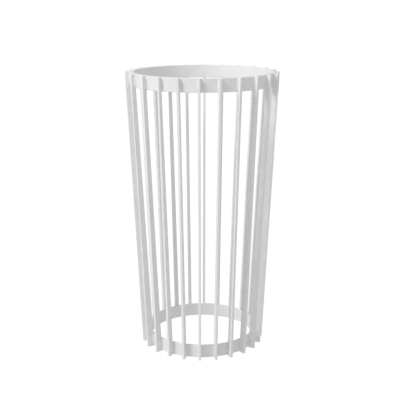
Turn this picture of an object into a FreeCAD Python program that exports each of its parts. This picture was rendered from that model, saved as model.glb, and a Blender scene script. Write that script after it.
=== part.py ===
import FreeCAD, Part
import os

# Umbrella stand: upright flat-bar staves standing edge-on around two rolled hoops.
# Millimetres, +Z up. The origin is on the floor, at the centre of the ring of stave feet.
# Stave 1 stands towards -Y, and the numbers run anticlockwise seen from above.

# ---- driving dimensions -------------------------------------------------------------------

HEIGHT = 500.0                  # floor to the flush tops of the staves
STAVE_COUNT = 24
STAVE_THICKNESS = 4.2           # the plate that the staves are cut from
STAVE_OUTER_RADIUS_TOP = 136.4
STAVE_OUTER_RADIUS_FOOT = 113.3
STAVE_DEPTH_TOP = 7.6           # a stave grows deeper towards its foot
STAVE_DEPTH_FOOT = 11.9
STAVE_EDGE_RADIUS = 0.5         # softened by deburring and the coating

HOOP_HEIGHT = 23.2              # rolled flat bar; the upper hoop is flush with the stave tops
UPPER_HOOP_THICKNESS = 8.5
LOWER_HOOP_THICKNESS = 5.5
LOWER_HOOP_LIFT = 1.0           # keeps the lower hoop off the floor
HOOP_EDGE_RADIUS = 0.8

WELD_LEG = 2.0                  # fillet weld in each corner between a stave and a hoop
WELD_END_GAP = 2.0              # hoop height left bare above and below a bead
WELD_ROOT_SINK = 1.0            # how far a raw bead reaches into the hoop before it is trimmed

# ---- worked out from them -----------------------------------------------------------------

STAVE_INNER_RADIUS_TOP = STAVE_OUTER_RADIUS_TOP - STAVE_DEPTH_TOP
STAVE_INNER_RADIUS_FOOT = STAVE_OUTER_RADIUS_FOOT - STAVE_DEPTH_FOOT
INNER_LEAN = (STAVE_INNER_RADIUS_TOP - STAVE_INNER_RADIUS_FOOT) / HEIGHT
STAVE_PITCH = 360.0 / STAVE_COUNT
UPPER_HOOP_BASE = HEIGHT - HOOP_HEIGHT

UP = FreeCAD.Vector(0, 0, 1)
CENTRE = FreeCAD.Vector(0, 0, 0)


def inner_radius(height):
    """Radius of the line that the inner edges of the staves follow, at a height."""
    return STAVE_INNER_RADIUS_FOOT + INNER_LEAN * height


def radial_point(radius, tangent, height):
    """A point given for the stave at -Y: out along -Y, sideways along +X, and up."""
    return FreeCAD.Vector(tangent, -radius, height)


def closed_face(points):
    """A flat face inside the polygon through the points."""
    return Part.Face(Part.makePolygon(points + points[:1]))


def make_stave():
    """One tapered flat bar at -Y, standing on its narrow end with its edge facing out."""
    side = -STAVE_THICKNESS / 2
    profile = closed_face([
        radial_point(STAVE_INNER_RADIUS_FOOT, side, 0),
        radial_point(STAVE_OUTER_RADIUS_FOOT, side, 0),
        radial_point(STAVE_OUTER_RADIUS_TOP, side, HEIGHT),
        radial_point(STAVE_INNER_RADIUS_TOP, side, HEIGHT),
    ])
    bar = profile.extrude(FreeCAD.Vector(STAVE_THICKNESS, 0, 0))
    return bar.makeFillet(STAVE_EDGE_RADIUS, bar.Edges)


def make_hoop(base, thickness):
    """A conical ring of flat bar whose outer face lies along the staves' inner edges."""
    top = base + HOOP_HEIGHT
    section = closed_face([
        radial_point(inner_radius(base) - thickness, 0, base),
        radial_point(inner_radius(base), 0, base),
        radial_point(inner_radius(top), 0, top),
        radial_point(inner_radius(top) - thickness, 0, top),
    ])
    ring = section.revolve(CENTRE, UP, 360)
    rims = [edge for edge in ring.Edges if isinstance(edge.Curve, Part.Circle)]
    return ring.makeFillet(HOOP_EDGE_RADIUS, rims)


def make_weld_bead(hoop_base, hand):
    """A fillet weld at the stave at -Y, on the side that hand (+1 or -1) says."""
    low = hoop_base + WELD_END_GAP
    high = hoop_base + HOOP_HEIGHT - WELD_END_GAP
    root = hand * STAVE_THICKNESS / 2
    toe = root + hand * WELD_LEG

    def section(height):
        face = inner_radius(height)
        return Part.makePolygon([
            radial_point(face - WELD_ROOT_SINK, root, height),
            radial_point(face + WELD_LEG, root, height),
            radial_point(face, toe, height),
            radial_point(face - WELD_ROOT_SINK, toe, height),
            radial_point(face - WELD_ROOT_SINK, root, height),
        ])

    return Part.makeLoft([section(low), section(high)], True, True)


def turned(shape, step):
    """A copy of the shape, turned about Z to the place of another stave."""
    copy = shape.copy()
    copy.rotate(CENTRE, UP, step * STAVE_PITCH)
    return copy


def make_hoop_welds(hoop, base):
    """Two beads for every stave on one hoop, each trimmed to the hoop's outer face."""
    beads = []
    for hand in (1, -1):
        bead = make_weld_bead(base, hand).cut(hoop).Solids[0]
        beads += [turned(bead, step) for step in range(STAVE_COUNT)]
    return Part.makeCompound(beads)


def build_nodes():
    """Every sub-part, by node name."""
    stave = make_stave()
    nodes = {}
    for step in range(STAVE_COUNT):
        nodes[f"stave_{step + 1:02d}"] = turned(stave, step)
    upper_hoop = make_hoop(UPPER_HOOP_BASE, UPPER_HOOP_THICKNESS)
    lower_hoop = make_hoop(LOWER_HOOP_LIFT, LOWER_HOOP_THICKNESS)
    nodes["upper_hoop"] = upper_hoop
    nodes["lower_hoop"] = lower_hoop
    nodes["upper_hoop_welds"] = make_hoop_welds(upper_hoop, UPPER_HOOP_BASE)
    nodes["lower_hoop_welds"] = make_hoop_welds(lower_hoop, LOWER_HOOP_LIFT)
    return nodes


os.makedirs("parts", exist_ok=True)
for name, shape in build_nodes().items():
    shape.exportStep(f"parts/{name}.step")
    print(f"{name}: {len(shape.Solids)} solid(s), {shape.Volume / 1000:.2f} cm3, valid {shape.isValid()}")
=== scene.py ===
import math
import random

import bpy
import numpy as np
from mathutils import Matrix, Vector


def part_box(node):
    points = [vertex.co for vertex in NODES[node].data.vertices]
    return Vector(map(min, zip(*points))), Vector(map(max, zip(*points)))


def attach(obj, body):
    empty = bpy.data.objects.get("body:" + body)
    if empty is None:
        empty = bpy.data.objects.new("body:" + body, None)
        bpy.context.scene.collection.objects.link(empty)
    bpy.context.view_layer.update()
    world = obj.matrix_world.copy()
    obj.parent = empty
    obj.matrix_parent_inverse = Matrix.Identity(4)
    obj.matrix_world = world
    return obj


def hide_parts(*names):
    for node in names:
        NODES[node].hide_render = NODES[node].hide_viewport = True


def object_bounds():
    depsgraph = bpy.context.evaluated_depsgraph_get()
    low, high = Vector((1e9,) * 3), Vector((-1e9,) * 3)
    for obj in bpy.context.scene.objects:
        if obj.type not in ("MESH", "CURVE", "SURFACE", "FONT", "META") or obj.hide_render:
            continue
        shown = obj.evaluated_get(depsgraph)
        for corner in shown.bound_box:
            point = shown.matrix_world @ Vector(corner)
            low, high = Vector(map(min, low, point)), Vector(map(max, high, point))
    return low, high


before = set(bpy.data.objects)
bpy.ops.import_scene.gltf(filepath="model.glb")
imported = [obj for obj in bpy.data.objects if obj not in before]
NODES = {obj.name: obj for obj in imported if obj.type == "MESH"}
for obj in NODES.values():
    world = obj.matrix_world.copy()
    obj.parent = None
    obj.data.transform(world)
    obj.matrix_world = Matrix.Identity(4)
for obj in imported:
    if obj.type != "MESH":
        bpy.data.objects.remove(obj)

CAD_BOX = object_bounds()
BODY = "root"
MM = 0.001
WHITE = (1.0, 1.0, 1.0, 1.0)

# ---- camera and light, in metres, degrees and watts ---------------------------------------

CAMERA_AZIMUTH = 2.03           # to the right of the front stave
CAMERA_DISTANCE = 1.4378        # level distance from the stand's axis
CAMERA_HEIGHT = 0.6340
CAMERA_AIM_HEIGHT = 0.2657      # where the line of sight meets the axis
CAMERA_LENS = 73.0              # millimetres
CAMERA_SHIFT_X = -0.0051        # the stand is a little right of the middle

ROOM_LIGHT = 0.66               # soft light from every side
KEY_AZIMUTH = -54.0             # the key light stands to the left and in front
KEY_ELEVATION = 42.0
KEY_DISTANCE = 6.0
KEY_SIZE = 2.0
KEY_POWER = 205.0

FLOOR_RADIUS = 12.0
DOME_RADIUS = 14.0
PAPER_SEGMENTS = 96             # around the floor and around the dome
PAPER_GLOW = 0.98               # together with PAPER_COLOUR it comes out just white
PAPER_COLOUR = (0.05, 0.05, 0.05, 1.0)

# ---- weld beads, with lengths in millimetres ----------------------------------------------

BEAD_LEG = 1.9
BEAD_LEG_DRIFT = 0.06           # share of the leg, at most, gained at one end and lost at the other
BEAD_END_GAP = 2.2              # hoop left bare above and below a bead
BEAD_END_JITTER = 0.3           # that bare height differs from bead to bead by up to this, each way
BEAD_END_SHARE = 0.35           # of the leg, at the very ends of a bead
BEAD_TAPER_RATE = 4.0           # growth of that share inwards, per length of the bead
BEAD_RIPPLE_PITCH = 1.15
BEAD_RIPPLE_DEPTH = 0.22
BEAD_ROOT_SINK = 0.15           # the root reaches this far into the stave and the hoop
BEAD_RINGS_PER_RIPPLE = 6
BEAD_FACE_POINTS = 7
BEAD_SEED = 24
HOOP_RIM = 0.75                 # left out at each rim where a hoop's outer face is measured

# ---- powder coat --------------------------------------------------------------------------

COAT_WHITE = (0.800, 0.800, 0.797)
COAT_SHADE = (0.770, 0.769, 0.764)
COAT_THIN = (0.830, 0.830, 0.828)       # on rubbed edges

GRAIN = {"size": 1.3 * MM, "detail": 1.5}       # orange peel
SPECK = {"size": 0.35 * MM, "detail": 1.0}      # fine specks on top of the grain
CLOUD = {"size": 60 * MM, "detail": 3.0}        # slow drift in film thickness
RUBBED = {"size": 9 * MM, "detail": 4.0, "roughness": 0.6}      # patches of wear along the edges

CLOUD_RANGE = (0.35, 0.65)      # noise where the colour is COAT_SHADE, and where it is COAT_WHITE
EDGE_RANGE = (0.505, 0.54)      # pointiness where wear starts, and where it is full
RUBBED_RANGE = (0.42, 0.62)     # noise where the wear is least, and where it is most
RUBBED_AMOUNT = (0.15, 1.0)     # share of the wear that shows there
GRAIN_RANGE = (0.3, 0.7)        # noise in the hollows of the grain, and on its tops
ROUGHNESS_CHANGE = (-0.05, 0.07)        # added to the coat's roughness there

GRAIN_BUMP = 0.6
SPECK_BUMP = 0.25
SPECK_HEIGHT_SHARE = 0.25       # of the grain's height

STAVE_ROUGHNESS = 0.42
HOOP_ROUGHNESS = 0.40
WELD_ROUGHNESS = 0.44
FLAT_GRAIN_HEIGHT = 0.03 * MM   # on the staves and the hoops
WELD_GRAIN_HEIGHT = 0.04 * MM


def direction(azimuth, elevation):
    """Unit vector towards a place at that azimuth (0 is -Y, 90 is +X) and elevation."""
    turn = math.radians(azimuth)
    rise = math.radians(elevation)
    level = math.cos(rise)
    return Vector((math.sin(turn) * level, -math.cos(turn) * level, math.sin(rise)))


def aim(thing, place, target):
    """Puts a camera or light at place, looking at target."""
    thing.location = place
    thing.rotation_euler = (target - place).to_track_quat("-Z", "Y").to_euler()


def add_object(name, data):
    """A new object in the scene."""
    made = bpy.data.objects.new(name, data)
    bpy.context.scene.collection.objects.link(made)
    return made


# ---- camera, light and floor --------------------------------------------------------------

def make_camera():
    """The camera, in front of the stand and looking down at it."""
    camera = add_object("camera", bpy.data.cameras.new("camera"))
    camera.data.lens = CAMERA_LENS
    camera.data.shift_x = CAMERA_SHIFT_X
    place = direction(CAMERA_AZIMUTH, 0) * CAMERA_DISTANCE
    place.z = CAMERA_HEIGHT
    aim(camera, place, Vector((0, 0, CAMERA_AIM_HEIGHT)))
    bpy.context.scene.camera = camera


def make_room_light():
    """Even light from all around, as in a white studio."""
    world = bpy.data.worlds.new("room")
    world.use_nodes = True
    glow = world.node_tree.nodes["Background"]
    glow.inputs["Color"].default_value = WHITE
    glow.inputs["Strength"].default_value = ROOM_LIGHT
    bpy.context.scene.world = world


def make_key_light():
    """One soft round light to the left and in front, above the stand."""
    light = bpy.data.lights.new("key", "AREA")
    light.shape = "DISK"
    light.size = KEY_SIZE
    light.energy = KEY_POWER
    middle = (CAD_BOX[0] + CAD_BOX[1]) / 2
    aim(add_object("key", light), middle + direction(KEY_AZIMUTH, KEY_ELEVATION) * KEY_DISTANCE, middle)


def paper_material():
    """Paper with an even glow of its own, so it stays white around the stand."""
    material = bpy.data.materials.new("paper")
    material.use_nodes = True
    shader = material.node_tree.nodes["Principled BSDF"]
    shader.inputs["Base Color"].default_value = PAPER_COLOUR
    shader.inputs["Roughness"].default_value = 1.0
    shader.inputs["Specular IOR Level"].default_value = 0.0
    shader.inputs["Emission Color"].default_value = WHITE
    shader.inputs["Emission Strength"].default_value = PAPER_GLOW
    return material


def make_paper_sweep():
    """The floor and a dome around it, both seen by the camera and neither lighting the stand."""
    paper = paper_material()
    bpy.ops.mesh.primitive_circle_add(vertices=PAPER_SEGMENTS, radius=FLOOR_RADIUS, fill_type="NGON")
    floor = bpy.context.object
    floor.name = "floor"
    bpy.ops.mesh.primitive_uv_sphere_add(
        segments=PAPER_SEGMENTS, ring_count=PAPER_SEGMENTS // 2, radius=DOME_RADIUS
    )
    dome = bpy.context.object
    dome.name = "backdrop"
    for sheet in (floor, dome):
        sheet.data.materials.append(paper)
        sheet.visible_diffuse = False
        sheet.visible_glossy = False
        sheet.visible_shadow = False


# ---- powder coat --------------------------------------------------------------------------

class NodeMaker:
    """Adds nodes to a material and links them."""

    def __init__(self, material):
        self.tree = material.node_tree

    def add(self, kind, **inputs):
        """A node of that kind; a keyword sets or links the input that it names."""
        node = self.tree.nodes.new(kind)
        for name, value in inputs.items():
            self.put(node.inputs[name.replace("_", " ")], value)
        return node

    def put(self, socket, value):
        """Links an output into a socket, or sets the socket's value."""
        if isinstance(value, bpy.types.NodeSocket):
            self.tree.links.new(value, socket)
        else:
            socket.default_value = value

    def noise(self, place, size, detail, roughness=0.5):
        """Noise in three dimensions whose lumps are about size metres across."""
        return self.add(
            "ShaderNodeTexNoise", Vector=place, Scale=1 / size, Detail=detail, Roughness=roughness
        ).outputs["Fac"]

    def ramp(self, factor, ends, low_colour, high_colour):
        """The two colours at the ends, a low and a high factor, blended in between."""
        node = self.add("ShaderNodeValToRGB", Fac=factor)
        for stop, place, colour in zip(node.color_ramp.elements, ends, (low_colour, high_colour)):
            stop.position = place
            stop.color = (*colour, 1)
        return node.outputs["Color"]

    def spread(self, factor, ends, results):
        """The two results at the ends, a low and a high factor, and evenly in between."""
        node = self.add("ShaderNodeMapRange", Value=factor)
        for name, value in zip(("From Min", "From Max", "To Min", "To Max"), (*ends, *results)):
            node.inputs[name].default_value = value
        return node.outputs["Result"]

    def product(self, first, second):
        """Two values multiplied."""
        node = self.add("ShaderNodeMath", Value=first)
        node.operation = "MULTIPLY"
        self.put(node.inputs[1], second)
        return node.outputs[0]

    def mix(self, factor, first, second):
        """Two colours mixed by factor."""
        node = self.tree.nodes.new("ShaderNodeMix")
        node.data_type = "RGBA"
        sockets = {socket.identifier: socket for socket in [*node.inputs, *node.outputs]}
        self.put(sockets["Factor_Float"], factor)
        self.put(sockets["A_Color"], first)
        self.put(sockets["B_Color"], second)
        return sockets["Result_Color"]


def coat_colour(maker, place):
    """White with a slow drift in shade, and lighter where an edge is rubbed."""
    colour = maker.ramp(maker.noise(place, **CLOUD), CLOUD_RANGE, COAT_SHADE, COAT_WHITE)
    pointiness = maker.add("ShaderNodeNewGeometry").outputs["Pointiness"]
    edge = maker.spread(pointiness, EDGE_RANGE, (0.0, 1.0))
    rubbed = maker.spread(maker.noise(place, **RUBBED), RUBBED_RANGE, RUBBED_AMOUNT)
    return maker.mix(maker.product(edge, rubbed), colour, (*COAT_THIN, 1))


def powder_coat(name, roughness, grain_height):
    """White powder coat: orange peel, slow shade drift, fine specks and lightly rubbed edges."""
    material = bpy.data.materials.new(name)
    material.use_nodes = True
    maker = NodeMaker(material)
    place = maker.add("ShaderNodeTexCoord").outputs["Object"]
    grain = maker.noise(place, **GRAIN)
    speck = maker.noise(place, **SPECK)
    shader = material.node_tree.nodes["Principled BSDF"]
    maker.put(shader.inputs["Base Color"], coat_colour(maker, place))
    roughness_ends = [roughness + change for change in ROUGHNESS_CHANGE]
    maker.put(shader.inputs["Roughness"], maker.spread(grain, GRAIN_RANGE, roughness_ends))
    fine = maker.add(
        "ShaderNodeBump", Height=speck, Strength=SPECK_BUMP, Distance=grain_height * SPECK_HEIGHT_SHARE
    )
    peel = maker.add("ShaderNodeBump", Height=grain, Strength=GRAIN_BUMP, Distance=grain_height)
    maker.put(peel.inputs["Normal"], fine.outputs["Normal"])
    maker.put(shader.inputs["Normal"], peel.outputs["Normal"])
    return material


def coat_nodes():
    """Gives every carried-over CAD node its powder coat."""
    stave_coat = powder_coat("stave_coat_white", STAVE_ROUGHNESS, FLAT_GRAIN_HEIGHT)
    hoop_coat = powder_coat("hoop_coat_white", HOOP_ROUGHNESS, FLAT_GRAIN_HEIGHT)
    for name, node in NODES.items():
        coat = stave_coat if name.startswith("stave_") else hoop_coat
        for slot in node.material_slots:
            slot.material = coat


# ---- weld beads ---------------------------------------------------------------------------

def hoop_face(hoop):
    """A hoop's outer face: radius at height 0, its growth with height, and the hoop's height range."""
    low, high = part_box(hoop)
    corners = np.array([vertex.co for vertex in NODES[hoop].data.vertices])
    radius = np.hypot(corners[:, 0], corners[:, 1])
    rim = HOOP_RIM * MM
    outside = radius > (radius.min() + radius.max()) / 2
    flat = outside & (corners[:, 2] > low.z + rim) & (corners[:, 2] < high.z - rim)
    growth, start = np.polyfit(corners[flat, 2], radius[flat], 1)
    return start, growth, low.z, high.z


def bead_section(height, leg, face_radius, hand, half_stave):
    """One ring of a bead: from the stave's side, over its face, to the hoop, then the root."""
    root = half_stave - BEAD_ROOT_SINK * MM
    ring = []
    for step in range(BEAD_FACE_POINTS):
        turn = math.pi / 2 * step / (BEAD_FACE_POINTS - 1)
        straight = 1 / (math.sin(turn) + math.cos(turn))
        bulge = leg * (1 + straight) / 2        # half way between a round face and a straight one
        ring.append((half_stave + bulge * math.sin(turn), face_radius + bulge * math.cos(turn)))
    ring.append((half_stave + leg, face_radius - BEAD_ROOT_SINK * MM))
    ring.append((root, face_radius - BEAD_ROOT_SINK * MM))
    ring.append((root, face_radius + leg))
    return [(hand * side, -out, height) for side, out in ring]


def bead_rings(face, hand, half_stave, dice):
    """The rings of one rippled bead, low to high, for the stave at -Y."""
    start, growth, low, high = face
    low += (BEAD_END_GAP + dice.uniform(-BEAD_END_JITTER, BEAD_END_JITTER)) * MM
    high -= (BEAD_END_GAP + dice.uniform(-BEAD_END_JITTER, BEAD_END_JITTER)) * MM
    ripples = round((high - low) / (BEAD_RIPPLE_PITCH * MM))
    count = ripples * BEAD_RINGS_PER_RIPPLE
    drift = dice.uniform(-BEAD_LEG_DRIFT, BEAD_LEG_DRIFT)
    rings = []
    for step in range(count + 1):
        along = step / count
        height = low + (high - low) * along
        phase = along * ripples
        ripple = (phase % 1.0) ** 2 * BEAD_RIPPLE_DEPTH
        taper = min(1.0, BEAD_END_SHARE + BEAD_TAPER_RATE * min(along, 1 - along))
        leg = (BEAD_LEG * (1 + drift * (2 * along - 1)) - ripple) * taper * MM
        rings.append(bead_section(height, leg, start + growth * height, hand, half_stave))
    return rings


def shell_faces(first, rings, size, hand):
    """Quads between the rings of one bead, and a cap at each end, all facing outwards."""
    faces = []
    for ring in range(rings - 1):
        for side in range(size):
            low = first + ring * size + side
            low_next = first + ring * size + (side + 1) % size
            faces.append((low, low_next, low_next + size, low + size))
    faces.append(tuple(first + side for side in reversed(range(size))))
    faces.append(tuple(first + (rings - 1) * size + side for side in range(size)))
    return faces if hand < 0 else [tuple(reversed(face)) for face in faces]


def turned(point, turn):
    """The point, turned about the stand's axis by turn radians."""
    x, y, z = point
    return (x * math.cos(turn) - y * math.sin(turn), x * math.sin(turn) + y * math.cos(turn), z)


def bead_mesh(name, hoop, dice):
    """All the beads on one hoop, two for every stave, as one mesh of closed shells."""
    half_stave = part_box("stave_01")[1].x
    face = hoop_face(hoop)
    staves = sum(node.startswith("stave_") for node in NODES)
    points, faces = [], []
    for stave in range(staves):
        turn = 2 * math.pi * stave / staves
        for hand in (1, -1):
            rings = bead_rings(face, hand, half_stave, dice)
            faces += shell_faces(len(points), len(rings), len(rings[0]), hand)
            points += [turned(point, turn) for ring in rings for point in ring]
    mesh = bpy.data.meshes.new(name)
    mesh.from_pydata(points, [], faces)
    mesh.validate()
    mesh.shade_smooth()
    return mesh


def make_weld_beads():
    """Rippled beads in place of the plain fillets of the CAD model."""
    coat = powder_coat("weld_coat_white", WELD_ROUGHNESS, WELD_GRAIN_HEIGHT)
    dice = random.Random(BEAD_SEED)
    for hoop in ("upper_hoop", "lower_hoop"):
        beads = add_object(f"{hoop}_weld_beads", bead_mesh(f"{hoop}_weld_beads", hoop, dice))
        beads.data.materials.append(coat)
        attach(beads, BODY)
        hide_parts(f"{hoop}_welds")


make_camera()
make_room_light()
make_key_light()
make_paper_sweep()
coat_nodes()
make_weld_beads()

bpy.context.scene.view_settings.view_transform = "Standard"
